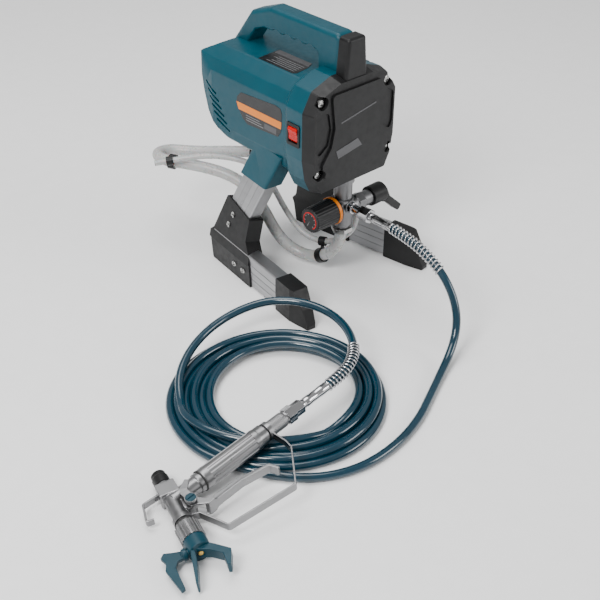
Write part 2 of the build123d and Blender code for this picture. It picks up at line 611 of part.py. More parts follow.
with BuildPart() as hose_nuts:
    hexagon((0, -121.1, OUTLET_Z), (0, -1, 0), 16.8, 18)
    hexagon(gun_point(SWIVEL_END + 0.1), GUN.x_dir, 12, 19)
    hexagon(gun_point(SWIVEL_END + 12), GUN.x_dir, GUN_NUT_END - SWIVEL_END - 12, 16)
finish(hose_nuts, "hose_nuts")

with BuildPart() as hose_ferrules:
    drum((0, PUMP_FERRULE_Y, OUTLET_Z), (0, -1, 0), 40, 6.3)
    drum(gun_point(GUN_NUT_END + 0.1), GUN.x_dir, GUN_HOSE_END - GUN_NUT_END - 0.1, 6.3)
finish(hose_ferrules, "hose_ferrules")


def sleeve(points, outer_d, inner_d):
    """A round sleeve on the first stretches of a cord."""
    edges = cord_wire(points).order_edges()
    sweep(cord_section(points, outer_d, inner_d), path=Wire(edges[:SPRING_EDGES]))


with BuildPart() as hose_springs:
    sleeve(HOSE_LEAD_ROUTE, 15.4, 11.8)
    sleeve(HOSE_TAIL_ROUTE[::-1], 15.4, 11.8)
finish(hose_springs, "hose_springs")

with BuildPart() as hose_lead:
    sweep(cord_section(HOSE_LEAD_ROUTE, HOSE_D), path=cord_wire(HOSE_LEAD_ROUTE))
finish(hose_lead, "hose_lead")
report_cord("hose_lead", HOSE_LEAD_ROUTE, hose_lead, HOSE_D)

with BuildPart() as hose_coil:
    left, right = COIL_OUT_X - COIL_OUT, COIL_OUT_X + COIL_OUT
    side = [(left, 0.1), (left, COIL_H_LEFT), (right, COIL_H_RIGHT), (right, 0.1)]
    slab(station(COIL_Y), side, -COIL_OUT, COIL_OUT)
    with BuildSketch() as ring:
        with Locations((COIL_OUT_X, COIL_Y)):
            Circle(COIL_OUT)
        with Locations((COIL_IN_X, COIL_Y)):
            Circle(COIL_IN, mode=Mode.SUBTRACT)
    extrude(ring.sketch, amount=40, mode=Mode.INTERSECT)
    chamfer(hose_coil.edges().filter_by(lambda e: e.geom_type != GeomType.LINE), 3)
finish(hose_coil, "hose_coil")

with BuildPart() as hose_tail:
    sweep(cord_section(HOSE_TAIL_ROUTE, HOSE_D), path=cord_wire(HOSE_TAIL_ROUTE))
finish(hose_tail, "hose_tail")
report_cord("hose_tail", HOSE_TAIL_ROUTE, hose_tail, HOSE_D)

# ================================================================ spray gun
with BuildPart() as gun_swivel:
    turned(GUN, [(HANDLE_END, 11), (HANDLE_END + 3, 9.5), (SWIVEL_END, 9.5)])
finish(gun_swivel, "gun_swivel")

with BuildPart() as gun_handle:
    turned(GUN, [(HANDLE_START, 12), (HANDLE_START + 3, 13), (126, 13), (128, 12.4), (HANDLE_END, 12.4)])
    with BuildSketch(Plane(origin=gun_point(52), z_dir=GUN.x_dir)) as flutes:
        with PolarLocations(15.2, 12):
            Circle(3.3)
    extrude(flutes.sketch, amount=68, mode=Mode.SUBTRACT)
finish(gun_handle, "gun_handle")

with BuildPart() as gun_body:
    turned(BARREL, [(-28, BARREL_R), (-25, BARREL_R), (-25, 10.5), (-5, 10.5), (-5, BARREL_R)])
    turned(BARREL, [(-6, BARREL_R), (51, BARREL_R)])
    turned(GUN, [(0, 10.5), (34, 10.5), (35, 12), (HANDLE_START, 12)])
    slab(BARREL, [(-25, -11.5), (-25, 11.5), (-5, 11.5), (-5, -11.5)], -10.5, 10.5, 2)
    slab(GUN, [(0, -8), (2, -27), (10, -29), (16, -23), (18, -8)], -6.5, 6.5, 2)
    drum(gun_point(*TRIGGER_PIVOT, -20), GUN.z_dir, 40, 2.6, mode=Mode.SUBTRACT)
    turned(BARREL, [(-22, 3.3), (60, 3.3)], mode=Mode.SUBTRACT)
finish(gun_body, "gun_body")

with BuildPart() as gun_cap:
    turned(BARREL, [(-28.1, 9.9), (-40, 9.9), (-42, 8.8), (-47, 8.8)])
finish(gun_cap, "gun_cap")

with BuildPart() as gun_needle:
    turned(BARREL, [(-16, 2.6), (44, 2.6), (50, 1.2)])
finish(gun_needle, "gun_needle")

FORK = [
    (4.5, -21), (5.5, -28), (12, -31.5), (21, -40), (30, -40), (30, -31.3), (24, -31), (17, -20),
    (10, -16.5),
]
FORK_END = [(27, -31.2), (27, -39), (30, -39), (30, -31.3)]
FLANGE = [(28, -31.2), (28, -40), (69, -40), (104, -47), (107, -44), (70, -33.5)]
FINGER_PLATE = [
    (18.5, -35), (21, -40), (69, -40), (104, -47), (107.5, -58), (111, -57.2), (107, -44), (69, -37.6),
    (22.5, -37.6),
]
TRIGGER_PLAN = [(0, 9.4), (29, 9.4), (33, 6), (115, 5.5), (115, -5.5), (33, -6), (29, -9.4), (0, -9.4)]
with BuildPart() as gun_trigger:
    slab(GUN, FINGER_PLATE, -9.4, 9.4)
    from_above = Plane(origin=GUN.origin, x_dir=GUN.x_dir, z_dir=-GUN.y_dir)
    slab(from_above, TRIGGER_PLAN, 0, 80, mode=Mode.INTERSECT)
    for side in (1, -1):
        slab(GUN, FORK, side * 7.4, side * 9.4)
        slab(GUN, FLANGE, side * 3.9, side * 5.5)
    slab(GUN, FORK_END, -9.4, 9.4)
    drum(gun_point(*TRIGGER_PIVOT, -20), GUN.z_dir, 40, 2.6, mode=Mode.SUBTRACT)
finish(gun_trigger, "gun_trigger")

with BuildPart() as trigger_pin:
    drum(gun_point(*TRIGGER_PIVOT, -11), GUN.z_dir, 26, 2.5)
    drum(gun_point(*TRIGGER_PIVOT, -11.5), GUN.z_dir, 1.6, 4.5)
    drum(gun_point(*TRIGGER_PIVOT, 14), GUN.z_dir, 2, 6)
    slab(GUN, [(5, -23.8), (5, -22.2), (15, -22.2), (15, -23.8)], 15, 17, mode=Mode.SUBTRACT)
finish(trigger_pin, "trigger_pin")

with BuildPart() as trigger_lock:
    drum(gun_point(*TRIGGER_PIVOT, 9.8), GUN.z_dir, 3.9, 5)
    slab(GUN, [(6, -24), (7, -8), (11, -2), (24, 5), (27, 1), (17, -8), (14, -24)], 12.2, 13.7, 1)
    drum(gun_point(*TRIGGER_PIVOT, -20), GUN.z_dir, 40, 2.6, mode=Mode.SUBTRACT)
finish(trigger_lock, "trigger_lock")

with BuildPart() as trigger_guard:
    strip(GUN, [(-1, -33.2), (8, -38), (17, -76), (105, -89), (142, -44), (144.5, -31), (144, -10)], 2, 5, 4)
    drum(BARREL.origin + BARREL.x_dir * 29, BARREL.x_dir, 6, 11.5)
    drum(gun_point(141), GUN.x_dir, 6, 11.5)
    drum(BARREL.origin, BARREL.x_dir, 60, BARREL_R + FIT, mode=Mode.SUBTRACT)
    drum(gun_point(136), GUN.x_dir, 20, BARREL_R + FIT, mode=Mode.SUBTRACT)
finish(trigger_guard, "trigger_guard")

with BuildPart() as gun_hook:
    strip(GUN, [(-6.2, 18.8), (-26, 20.6), (-39, -2.6), (-31, -6)], 2.4, 4, 2.5)
finish(gun_hook, "gun_hook")

NUT_START, NUT_END, GUARD_END = 42.0, 64.5, 82.0
with BuildPart() as guard_nut:
    with BuildSketch(Plane(origin=BARREL.origin + BARREL.x_dir * NUT_START, z_dir=BARREL.x_dir)) as ribs:
        Circle(13.3)
        with PolarLocations(13.3, 20):
            Circle(0.9)
    extrude(ribs.sketch, amount=NUT_END - NUT_START)
    chamfer(guard_nut.edges().filter_by(GeomType.LINE, reverse=True).sort_by(Axis.Y)[0], 0.4)
    drum(BARREL.origin + BARREL.x_dir * 30, BARREL.x_dir, 21.1, BARREL_R + FIT, mode=Mode.SUBTRACT)
    drum(BARREL.origin + BARREL.x_dir * 30, BARREL.x_dir, 60, 3.3, mode=Mode.SUBTRACT)
finish(guard_nut, "guard_nut")

RIGHT_EAR = [(79, -9), (79, 10), (86, 17), (100, 29), (119, 20.5), (118, 17), (101, 19), (90, 9)]
LEFT_EAR = [(79, -9), (88, -12), (92, -13), (124, -21), (126, -19), (94, -8), (84, -6)]
tip_centre = BARREL.origin + BARREL.x_dir * TIP_ALONG
with BuildPart() as tip_guard:
    drum(BARREL.origin + BARREL.x_dir * (NUT_END + 0.3), BARREL.x_dir, GUARD_END - NUT_END - 0.3, 13.3)
    slab(BARREL, RIGHT_EAR, -7, 7, 1)
    slab(BARREL, LEFT_EAR, -8, 8, 0.8)
    drum(tip_centre - BARREL.y_dir * 30, BARREL.y_dir, 60, 5.1, mode=Mode.SUBTRACT)
    drum(BARREL.origin + BARREL.x_dir * 60, BARREL.x_dir, 60, 3.4, mode=Mode.SUBTRACT)
finish(tip_guard, "tip_guard")

KEY = [(72, -18), (69, -27), (65, -36), (70, -41), (79, -38), (88, -42), (122, -37), (120, -32), (90, -31),
       (83, -26), (82, -18)]
with BuildPart() as spray_tip:
    drum(tip_centre + BARREL.y_dir * 12, -BARREL.y_dir, 32, 5)
    drum(tip_centre - BARREL.y_dir * 14, -BARREL.y_dir, 4.5, 7)
    drum(tip_centre - BARREL.x_dir * 8, BARREL.x_dir, 16, 1.2, mode=Mode.SUBTRACT)
    slab(BARREL, KEY, -2.2, 2.2, 1)
finish(spray_tip, "spray_tip")

# ================================================================ suction and return tubes
with BuildPart() as suction_tube:
    sweep(cord_section(SUCTION_ROUTE, SUCTION_D), path=cord_wire(SUCTION_ROUTE))
finish(suction_tube, "suction_tube")
report_cord("suction_tube", SUCTION_ROUTE, suction_tube, SUCTION_D)

with BuildPart() as return_tube:
    sweep(cord_section(RETURN_ROUTE, RETURN_D), path=cord_wire(RETURN_ROUTE))
finish(return_tube, "return_tube")
report_cord("return_tube", RETURN_ROUTE, return_tube, RETURN_D)


def clip(suction_mm, return_mm):
    """A double clip at a distance along each tube: a ring square to each of them, joined by a bar."""
    tubes = []
    runs = [(SUCTION_ROUTE, SUCTION_D, suction_mm), (RETURN_ROUTE, RETURN_D, return_mm)]
    for points, diameter, distance in runs:
        line = cord_wire(points)
        middle = line.position_at(distance, position_mode=PositionMode.LENGTH)
        along = line.tangent_at(distance, position_mode=PositionMode.LENGTH)
        tubes.append((middle, along, diameter / 2))
    with BuildPart() as shape:
        for middle, along, radius in tubes:
            drum(middle - along * 5, along, 10, radius + 2.6)
        (start, _, _), (end, _, _) = tubes
        drum(start, end - start, (end - start).length, 2.6)
        for middle, along, radius in tubes:
            drum(middle - along * 14, along, 28, radius + 0.4, mode=Mode.SUBTRACT)
    add(shape.part)


with BuildPart() as tube_clips:
    clip(72, 86)
    clip(359, 371)
finish(tube_clips, "tube_clips")

tube_end = Vector(*SUCTION_ROUTE[-1])
tube_end_dir = (tube_end - Vector(*SUCTION_ROUTE[-2])).normalized()
with BuildPart() as suction_strainer:
    drum(tube_end + tube_end_dir * 0.1, tube_end_dir, 9, 10)
    drum(tube_end + tube_end_dir * 9, tube_end_dir, 24, 14)
finish(suction_strainer, "suction_strainer")

# ================================================================ stand
RAIL_PLANE = Plane(origin=ELBOW, x_dir=RAIL_DIR, z_dir=RAIL_DIR.cross(Vector(0, 0, 1)))
LEAN_PLANE = Plane(origin=ELBOW + Vector(0, 0, LEAN_START), x_dir=RAIL_DIR, z_dir=RAIL_DIR.cross(LEAN_UP))
BRACKET_LOWER = [(6, 0), (-1, 40), (104, 40), (108, 0)]
BRACKET_UPPER = [(-1, -6), (-2, 5), (6, 12), (24.5, 71), (86, 58), (87, 25), (103, 7), (104, -6)]
CAP_SIDE = [(FOOT_START, 0), (FOOT_START, CAP_TOP), (214, CAP_TOP), (231, 28), (FOOT_END, 6), (FOOT_END, 0)]
CAP_PLAN = [(170, 0), (207, 0), (FOOT_END, 8), (FOOT_END, 21), (212, 25), (170, 25)]


def rail_section(height, thickness, radius, grooves=False):
    """Section square to the left rail, at its rear end."""
    middle = ELBOW + RAIL_DIR * RAIL_START + INWARD * (STAND_T / 2) + Vector(0, 0, RAIL_LOW + RAIL_H / 2)
    with BuildSketch(Plane(origin=middle, x_dir=INWARD, z_dir=RAIL_DIR)) as section:
        RectangleRounded(thickness, height, radius)
        if grooves:
            with GridLocations(thickness, 11, 2, 3):
                Rectangle(1.2, 1.6, mode=Mode.SUBTRACT)
    return section.sketch


with BuildPart() as rail_solid:
    extrude(rail_section(RAIL_H + 0.1, RAIL_T + 0.1, 2), amount=RAIL_END - RAIL_START)

with BuildPart() as rail:
    extrude(rail_section(RAIL_H, RAIL_T, 2, grooves=True), amount=RAIL_END - RAIL_START)
    inner = rail_section(RAIL_H - 2 * TUBE_WALL, RAIL_T - 2 * TUBE_WALL, 1)
    extrude(inner, amount=RAIL_END - RAIL_START, mode=Mode.SUBTRACT)
    add(left_screw_holes, mode=Mode.SUBTRACT)

with BuildPart() as upright:
    with BuildSketch(level_cut(TUBE_FOOT)) as cut:
        RectangleRounded(TUBE_T, TUBE_L, 3)
        with GridLocations(TUBE_T, 12.5, 2, 3):
            Rectangle(1.2, 1.8, mode=Mode.SUBTRACT)
        RectangleRounded(TUBE_T - 2 * TUBE_WALL, TUBE_L - 2 * TUBE_WALL, 1.5, mode=Mode.SUBTRACT)
    extrude(cut.sketch, amount=(TUBE_HEAD - TUBE_FOOT) / TUBE_DIR.Z, dir=TUBE_DIR)
    add(left_screw_holes, mode=Mode.SUBTRACT)

with BuildPart() as bracket:
    slab(RAIL_PLANE, BRACKET_LOWER, -STAND_T, 0, 2)
    slab(LEAN_PLANE, BRACKET_UPPER, -STAND_T, 0, 2)
    add(rail_solid.part, mode=Mode.SUBTRACT)
    add(tube_bore, mode=Mode.SUBTRACT)
    add(left_screw_holes, mode=Mode.SUBTRACT)

with BuildPart() as foot:
    slab(RAIL_PLANE, CAP_SIDE, -STAND_T, 0, 1.5)
    slab(Plane(origin=ELBOW, x_dir=RAIL_DIR, z_dir=(0, 0, 1)), CAP_PLAN, -5, 60, 2, mode=Mode.INTERSECT)
    add(rail_solid.part, mode=Mode.SUBTRACT)

STAND_PIECES = {"floor_rail": rail, "leg_upright": upright, "elbow_bracket": bracket, "foot_cap": foot}
for name, left_piece in STAND_PIECES.items():
    finish(left_piece, f"{name}_left")
    with BuildPart() as right_piece:
        add(mirror(left_piece.part, about=Plane.YZ, mode=Mode.PRIVATE))
    finish(right_piece, f"{name}_right")
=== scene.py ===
"""Airless paint sprayer: its cords, trim, materials, light and camera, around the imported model.

Metres, in the model's own frame: the origin is on the floor at the middle of the stand, the front
cover faces -Y and +Z is up. Lists of points are in millimetres, as in the part's source.
"""
import json
from math import cos, pi, radians, sin, tau

import bpy
from mathutils import Matrix, Vector


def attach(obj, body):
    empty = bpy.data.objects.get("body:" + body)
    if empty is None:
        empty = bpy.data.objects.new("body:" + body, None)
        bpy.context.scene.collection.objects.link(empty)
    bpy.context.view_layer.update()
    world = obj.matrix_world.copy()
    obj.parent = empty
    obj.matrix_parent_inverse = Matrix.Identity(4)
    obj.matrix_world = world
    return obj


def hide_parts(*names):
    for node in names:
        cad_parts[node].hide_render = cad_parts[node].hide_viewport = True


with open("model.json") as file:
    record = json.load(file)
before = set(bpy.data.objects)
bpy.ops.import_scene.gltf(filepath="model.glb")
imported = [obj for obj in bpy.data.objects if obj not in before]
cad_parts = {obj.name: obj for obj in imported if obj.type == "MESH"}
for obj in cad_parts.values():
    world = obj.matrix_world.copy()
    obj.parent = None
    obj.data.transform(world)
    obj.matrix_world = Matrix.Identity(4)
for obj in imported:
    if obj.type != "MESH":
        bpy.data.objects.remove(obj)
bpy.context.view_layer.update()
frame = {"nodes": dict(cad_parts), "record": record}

MM = 0.001
HOSE_D, SUCTION_D, RETURN_D = 11.0, 17.0, 8.5
HOUSING_SIDE_X, HOUSING_TOP_Z, PANEL_Y = -71.0, 315.0, -106.0     # flat faces that carry a label


# ================================================================ camera
def make_camera():
    """The camera looks down at the left front of the machine."""
    azimuth, elevation, roll = radians(-43.26), radians(34.26), radians(0.69)
    back = Vector((sin(azimuth) * cos(elevation), -cos(azimuth) * cos(elevation), sin(elevation)))
    right = (-back).cross(Vector((0, 0, 1))).normalized()
    up = right.cross(-back)
    right, up = right * cos(roll) + up * sin(roll), up * cos(roll) - right * sin(roll)
    data = bpy.data.cameras.new("camera")
    data.sensor_width = 36
    data.lens = 69.69
    data.clip_end = 20
    camera = bpy.data.objects.new("camera", data)
    camera.matrix_world = Matrix.Translation((-1.00853, -1.07184, 0.92517)) @ Matrix(
        (right, up, back)).transposed().to_4x4()
    bpy.context.scene.collection.objects.link(camera)
    bpy.context.scene.camera = camera


make_camera()


# ================================================================ materials
def link_noise(tree, coordinates, scale, detail, stretch=(1, 1, 1)):
    """A noise texture in the object's own coordinates."""
    mapping = tree.nodes.new("ShaderNodeMapping")
    mapping.inputs["Scale"].default_value = stretch
    noise = tree.nodes.new("ShaderNodeTexNoise")
    noise.inputs["Scale"].default_value = scale
    noise.inputs["Detail"].default_value = detail
    tree.links.new(coordinates, mapping.inputs["Vector"])
    tree.links.new(mapping.outputs["Vector"], noise.inputs["Vector"])
    return noise.outputs["Fac"]


def finish(name, colour, roughness, metallic=0.0, tone=0.08, grain=1800, depth=0.02, stretch=(1, 1, 1),
           rough_spread=0.08, coat=0.0, wear=0.0, **sockets):
    """A surface finish: broad tone changes, uneven gloss, fine grain and, on metal, bright edges."""
    made = bpy.data.materials.new(name)
    made.use_nodes = True
    tree = made.node_tree
    shader = tree.nodes["Principled BSDF"]
    shader.inputs["Metallic"].default_value = metallic
    shader.inputs["Coat Weight"].default_value = coat
    shader.inputs["Coat Roughness"].default_value = 0.12
    for socket, value in sockets.items():
        shader.inputs[socket.replace("_", " ")].default_value = value
    place = tree.nodes.new("ShaderNodeTexCoord").outputs["Object"]

    ramp = tree.nodes.new("ShaderNodeValToRGB")
    ramp.color_ramp.elements[0].position = 0.3
    ramp.color_ramp.elements[1].position = 0.7
    ramp.color_ramp.elements[0].color = [c * (1 - tone) for c in colour] + [1]
    ramp.color_ramp.elements[1].color = [min(c * (1 + tone), 1) for c in colour] + [1]
    tree.links.new(link_noise(tree, place, 35, 4, stretch), ramp.inputs["Fac"])
    shown = ramp.outputs["Color"]
    if wear:
        edges = tree.nodes.new("ShaderNodeValToRGB")
        edges.color_ramp.elements[0].position = 0.52
        edges.color_ramp.elements[1].position = 0.6
        mix = tree.nodes.new("ShaderNodeMixRGB")
        mix.inputs["Color2"].default_value = [min(c * (1 + wear) + 0.01, 1) for c in colour] + [1]
        tree.links.new(tree.nodes.new("ShaderNodeNewGeometry").outputs["Pointiness"], edges.inputs["Fac"])
        tree.links.new(edges.outputs["Color"], mix.inputs["Fac"])
        tree.links.new(shown, mix.inputs["Color1"])
        shown = mix.outputs["Color"]
    tree.links.new(shown, shader.inputs["Base Color"])

    gloss = tree.nodes.new("ShaderNodeMapRange")
    gloss.inputs["From Min"].default_value = 0.3
    gloss.inputs["From Max"].default_value = 0.7
    gloss.inputs["To Min"].default_value = roughness - rough_spread
    gloss.inputs["To Max"].default_value = roughness + rough_spread
    tree.links.new(link_noise(tree, place, 120, 5, stretch), gloss.inputs["Value"])
    tree.links.new(gloss.outputs["Result"], shader.inputs["Roughness"])

    bump = tree.nodes.new("ShaderNodeBump")
    bump.inputs["Strength"].default_value = 0.5
    bump.inputs["Distance"].default_value = depth * MM
    tree.links.new(link_noise(tree, place, grain, 2, stretch), bump.inputs["Height"])
    tree.links.new(bump.outputs["Normal"], shader.inputs["Normal"])
    return made


TEAL, BLACK = (0.0, 0.055, 0.08), (0.006, 0.006, 0.0065)
FINISHES = {
    "teal_plastic": finish("teal_plastic", TEAL, 0.4, depth=0.05, tone=0.05, Specular_IOR_Level=0.32),
    "black_plastic": finish("black_plastic", BLACK, 0.42, depth=0.06, tone=0.2, Specular_IOR_Level=0.3),
    "screw_steel": finish("screw_steel", (0.42, 0.42, 0.41), 0.3, metallic=1, wear=0.3),
    "red_plastic": finish("red_plastic", (0.5, 0.0, 0.0), 0.3, depth=0.01, Specular_IOR_Level=0.25),
    "cast_metal": finish("cast_metal", (0.2, 0.2, 0.205), 0.42, metallic=1, grain=900, depth=0.09, wear=0.25),
    "gear_metal": finish("gear_metal", (0.4, 0.4, 0.42), 0.33, metallic=1, wear=0.4),
    "motor_metal": finish("motor_metal", (0.1, 0.1, 0.11), 0.45, metallic=0.6, depth=0.04),
    "aluminium": finish("aluminium", (0.36, 0.36, 0.37), 0.38, metallic=1, grain=500, depth=0.03,
                        stretch=(1, 0.06, 1), wear=0.2),
    "chrome_metal": finish("chrome_metal", (0.5, 0.5, 0.51), 0.12, metallic=1, rough_spread=0.04,
                           depth=0.006),
    "orange_plastic": finish("orange_plastic", (0.72, 0.19, 0.0), 0.4, depth=0.02),
    "hose_plastic": finish("hose_plastic", (0.0, 0.026, 0.046), 0.16, coat=0.4, depth=0.012, tone=0.1),
    "clear_tube": finish("clear_tube", (0.5, 0.5, 0.495), 0.3, tone=0.04, depth=0.01,
                         Transmission_Weight=0.18, Subsurface_Weight=0.25, Subsurface_Scale=0.004),
    "gun_aluminium": finish("gun_aluminium", (0.26, 0.26, 0.265), 0.33, metallic=1, grain=700, depth=0.02,
                            stretch=(0.4, 1, 1), wear=0.25),
    "blue_plastic": finish("blue_plastic", (0.0, 0.036, 0.056), 0.42, depth=0.05, Specular_IOR_Level=0.35),
    "brass_metal": finish("brass_metal", (0.62, 0.4, 0.11), 0.3, metallic=1, wear=0.3),
    "rubber_seal": finish("rubber_seal", (0.02, 0.02, 0.02), 0.7, depth=0.06, tone=0.15),
}
LABEL_BLACK = finish("label_black", (0.008, 0.008, 0.009), 0.32, tone=0.05, depth=0.004)
LABEL_GREY = finish("label_grey", (0.06, 0.06, 0.065), 0.36, tone=0.05, depth=0.004)
LABEL_MARK = finish("label_mark", (0.16, 0.16, 0.165), 0.4, tone=0.05, depth=0.004)


# ================================================================ mesh and curve helpers
def place(piece, body, slot, look=None):
    """Give a piece its finish and let it ride on a body."""
    piece.data.materials.append(look or FINISHES[slot])
    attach(piece, body)
    return piece


def mesh_piece(name, points, faces, body, slot, look=None, bevel=0.0, sharp=35):
    """A mesh in metres, smooth but for its sharp edges, which are then rounded by bevel mm."""
    mesh = bpy.data.meshes.new(name)
    mesh.from_pydata([tuple(p) for p in points], [], faces)
    mesh.validate()
    mesh.shade_smooth()
    mesh.set_sharp_from_angle(angle=radians(sharp))
    piece = bpy.data.objects.new(name, mesh)
    bpy.context.scene.collection.objects.link(piece)
    if bevel:
        rounding = piece.modifiers.new("edge rounding", "BEVEL")
        rounding.width = bevel * MM
        rounding.segments = 2
        rounding.limit_method = "ANGLE"
        rounding.harden_normals = True
    return place(piece, body, slot, look)


def local_frame(origin, along, side):
    """A frame in metres: x along, y as near side as can be, z their cross product."""
    x = Vector(along).normalized()
    z = x.cross(Vector(side)).normalized()
    y = z.cross(x)
    turn = Matrix((x, y, z)).transposed().to_4x4()
    return Matrix.Translation(Vector(origin) * MM) @ turn @ Matrix.Scale(MM, 4)


def plate(name, at, outline, low, high, body, slot, look=None, bevel=0.15):
    """A flat plate from an outline in a local frame, between two heights over it."""
    count = len(outline)
    points = [at @ Vector((x, y, h)) for h in (low, high) for x, y in outline]
    walls = [(i, (i + 1) % count, (i + 1) % count + count, i + count) for i in range(count)]
    caps = [tuple(range(count))[::-1], tuple(range(count, 2 * count))]
    return mesh_piece(name, points, walls + caps, body, slot, look, bevel)


def bar(left, right, low, high):
    return [(left, low), (right, low), (right, high), (left, high)]


def lathe(name, at, profile, body, slot, look=None, segments=72, ripple=None, sharp=35):
    """A turned piece about a frame's x axis, from (distance, radius) pairs; ripple adds to the radius."""
    points, faces = [], []
    for along, radius in profile:
        for i in range(segments):
            angle = tau * i / segments
            r = radius + (ripple(along, angle) if ripple else 0)
            points.append(at @ Vector((along, r * cos(angle), r * sin(angle))))
    for ring in range(len(profile) - 1):
        for i in range(segments):
            a, b = ring * segments + i, ring * segments + (i + 1) % segments
            faces.append((b, a, a + segments, b + segments))
    if profile[0] != profile[-1]:
        faces.append(tuple(range(segments)))
        faces.append(tuple(range(len(points) - segments, len(points)))[::-1])
    else:
        last = len(points) - segments
        faces = [tuple(i - last if i >= last else i for i in face) for face in faces]
        points = points[:last]
    return mesh_piece(name, points, faces, body, slot, look, sharp=sharp)


def nurbs(name, points, diameter):
    """A smooth round cord, with the points in metres as its control points.

    The points' own radius sets the thickness, because Blender adds it to the cord's bounding box.
    """
    data = bpy.data.curves.new(name, "CURVE")
    data.dimensions = "3D"
    data.resolution_u = 8
    data.bevel_resolution = 6
    data.use_fill_caps = True
    data.bevel_depth = 1
    spline = data.splines.new("NURBS")
    spline.points.add(len(points) - 1)
    for control, point in zip(spline.points, points):
        control.co = (*point, 1)
        control.radius = diameter / 2 * MM
    spline.order_u = 3
    spline.use_endpoint_u = True
    piece = bpy.data.objects.new(name, data)
    bpy.context.scene.collection.objects.link(piece)
    return piece


def centreline(piece):
    """The points of a cord's own smooth line, in metres."""
    depth, piece.data.bevel_depth = piece.data.bevel_depth, 0
    bpy.context.view_layer.update()
    line = bpy.data.meshes.new_from_object(piece.evaluated_get(bpy.context.evaluated_depsgraph_get()))
    points = [v.co.copy() for v in line.vertices]
    piece.data.bevel_depth = depth
    bpy.data.meshes.remove(line)
    return points


def in_metres(points):
    return [Vector(p) * MM for p in points]


# ================================================================ cords
HOSE_LEAD_ROUTE = [
    (0, -178, 129.5), (1, -212, 125.5), (3, -243, 114), (4, -270, 96.5), (3, -290, 74), (-2, -304, 50),
    (-14, -313, 27.5), (-35, -322, 13), (-64, -334.5, 7), (-103, -353, 5.7), (-153, -377, 5.9),
    (-208, -391, 5.7), (-265, -391, 5.9), (-314, -371, 5.7), (-350, -333, 5.9),
]
HOSE_TAIL_ROUTE = [
    (-354, -164, 9), (-329, -127, 19), (-293, -103, 27), (-255, -90, 33), (-218, -87, 38),
    (-184, -92, 42), (-155, -106, 46), (-135, -130, 49), (-122, -160, 50), (-119, -192, 50),
    (-127, -225, 50), (-144, -254, 50), (-169, -277, 50.5), (-197.4, -288, 48.5), (-225.2, -288.6, 44.9),
]
SUCTION_ROUTE = [
    (0, -84, 84), (0, -80, 62), (0, -64, 39), (-1, -43, 23), (-7, -19, 16), (-16, 3, 22), (-24, 18, 36),
    (-29, 31, 54), (-31, 46, 74), (-32, 68, 92), (-36, 95, 105), (-47, 123, 112), (-65, 149, 117),
    (-80, 167, 120), (-91, 182, 121), (-98, 198, 121.5), (-96, 215, 120.5), (-83, 226, 118.5),
    (-66, 224, 117), (-53, 211, 116), (-41, 194, 117), (-29, 175, 119.5), (-17, 156, 123), (-5, 137, 126),
    (7, 118, 128.5),
]
RETURN_ROUTE = [
    (30, -84, 104), (29.5, -83, 85), (26, -76, 67), (18, -63, 53), (8, -45, 44), (1, -23, 43), (-5, -4, 51),
    (-7, 15, 65), (-9, 31, 82), (-11, 44, 100), (-16, 55, 118), (-25, 68, 133), (-37, 85, 142),
    (-51, 106, 144.5), (-64, 128, 142.5), (-79, 146, 139), (-94, 160, 135), (-109, 173, 131.5),
    (-123, 184, 129),
]
COIL_Y = -230.0
COIL_STEPS = 16                # points to a turn
COIL_POINTS = 93
COIL_START = radians(194)      # where the lead meets the outermost turn, on the left
TURN_OUT, TURN_IN = 138.0, 91.5
TURN_X_OUT, TURN_X_IN = -252.0, -238.0     # the turns bunch up on the right
FLOOR_Z = 5.8                  # a turn that lies on the floor
CROSSING_POINTS = 10
CROSSING_END = radians(158)
TAIL_R = 121.5                 # the tail leaves the coil at this radius


def coil_turns():
    """Turns laid clockwise and inward; every other turn lies on its neighbours, most of all at the right."""
    turns = []
    for step in range(COIL_POINTS):
        share = step / COIL_POINTS
        angle = COIL_START - tau * step / COIL_STEPS
        radius = TURN_OUT + (TURN_IN - TURN_OUT) * share + 0.8 * sin(3 * angle + 5 * share)
        middle = TURN_X_OUT + (TURN_X_IN - TURN_X_OUT) * share
        upper = int(step / COIL_STEPS) % 2
        lift = 9.8 * ((1 + cos(angle)) / 2) ** 0.5 if upper else 0
        turns.append((middle + radius * cos(angle), COIL_Y + radius * sin(angle), FLOOR_Z + lift))
    return turns


def crossing():
    """The innermost turn climbs outward over the others, under the gun's swivel, to the tail."""
    first = COIL_START - tau * COIL_POINTS / COIL_STEPS
    first -= tau * int(first / tau - 1)
    points = []
    for step in range(CROSSING_POINTS):
        share = step / (CROSSING_POINTS - 1)
        angle = first + (CROSSING_END - first) * share
        radius = TURN_IN + (TAIL_R - TURN_IN) * share**1.3
        middle = TURN_X_IN + (TURN_X_OUT - TURN_X_IN) * share
        lift = 11.2 * sin(pi / 2 * min(1, share * 2.2)) * cos(pi / 4 * max(0, share * 3 - 2))
        points.append((middle + radius * cos(angle), COIL_Y + radius * sin(angle), FLOOR_Z + lift))
    return points


hose = nurbs("hose", in_metres(HOSE_LEAD_ROUTE + coil_turns() + crossing() + HOSE_TAIL_ROUTE), HOSE_D)
place(hose, "root", "hose_plastic")
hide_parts("hose_lead", "hose_coil", "hose_tail")

suction_hose = nurbs("suction_hose", in_metres(SUCTION_ROUTE), SUCTION_D)
place(suction_hose, "root", "clear_tube")
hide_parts("suction_tube")

return_hose = nurbs("return_hose", in_metres(RETURN_ROUTE), RETURN_D)
place(return_hose, "root", "clear_tube")
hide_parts("return_tube")


WIRE_D = 2.5
SPRING_R, SPRING_PITCH = 6.85, 5.6
SPRING_STEPS = 14              # points to a turn


